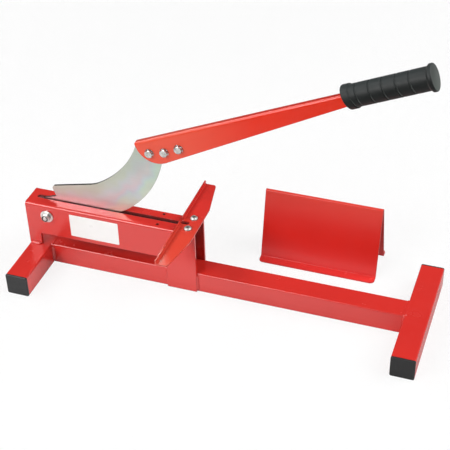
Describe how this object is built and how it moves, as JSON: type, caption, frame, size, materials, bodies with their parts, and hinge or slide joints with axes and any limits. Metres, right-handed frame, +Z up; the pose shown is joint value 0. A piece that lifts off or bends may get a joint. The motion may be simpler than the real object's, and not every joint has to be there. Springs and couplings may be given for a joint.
{
  "type": "laminate flooring cutter",
  "caption": "Hand-lever guillotine shear for laminate flooring: curved blade on a gripped handle, slotted housing with fence on a square-tube base, and a loose folded plank support.",
  "frame": {"origin": "on the floor, under the middle of the base, in the plane of the blade", "axes": "+X along the base from the pivot towards the grip, +Y to the rear away from the person, +Z up"},
  "size_m": [0.711, 0.3093, 0.4911],
  "materials": {
    "red_paint": "glossy red powder coat",
    "blade_zinc": "zinc plate with faint iridescence",
    "bright_zinc": "bright zinc plate",
    "grip_rubber": "matt black with a fine grain",
    "cap_plastic": "dark grey moulded plastic"
  },
  "bodies": {
    "base": {"left_foot": "red_paint", "right_foot": "red_paint", "main_beam": "red_paint", "blade_housing": "red_paint", "fence": "red_paint", "left_front_cap": "cap_plastic", "left_rear_cap": "cap_plastic", "right_front_cap": "cap_plastic", "right_rear_cap": "cap_plastic", "fence_screws": "bright_zinc", "pivot_bolt": "bright_zinc", "pivot_nut": "bright_zinc", "pivot_washer_front": "bright_zinc", "pivot_washer_rear": "bright_zinc", "pivot_spacer_front": "bright_zinc", "pivot_spacer_rear": "bright_zinc"},
    "cutting_arm": {"blade": "blade_zinc", "handle_channel": "red_paint", "handle_grip": "grip_rubber", "handle_bolts": "bright_zinc", "handle_nuts": "bright_zinc", "handle_spacers_front": "bright_zinc", "handle_spacers_rear": "bright_zinc"},
    "loose_support": {"plank_support": "red_paint"}
  },
  "joints": [
    {"name": "blade_pivot", "type": "hinge", "parent": "base", "child": "cutting_arm", "pos_m": [-0.3155, 0, 0.1042], "axis": [0, 1, 0], "range_deg": [-66.5, 27]},
    {"name": "support_slide", "type": "slide", "parent": "base", "child": "loose_support", "axis": [-1, 0, 0], "range_m": [0, 0.31]}
  ]
}
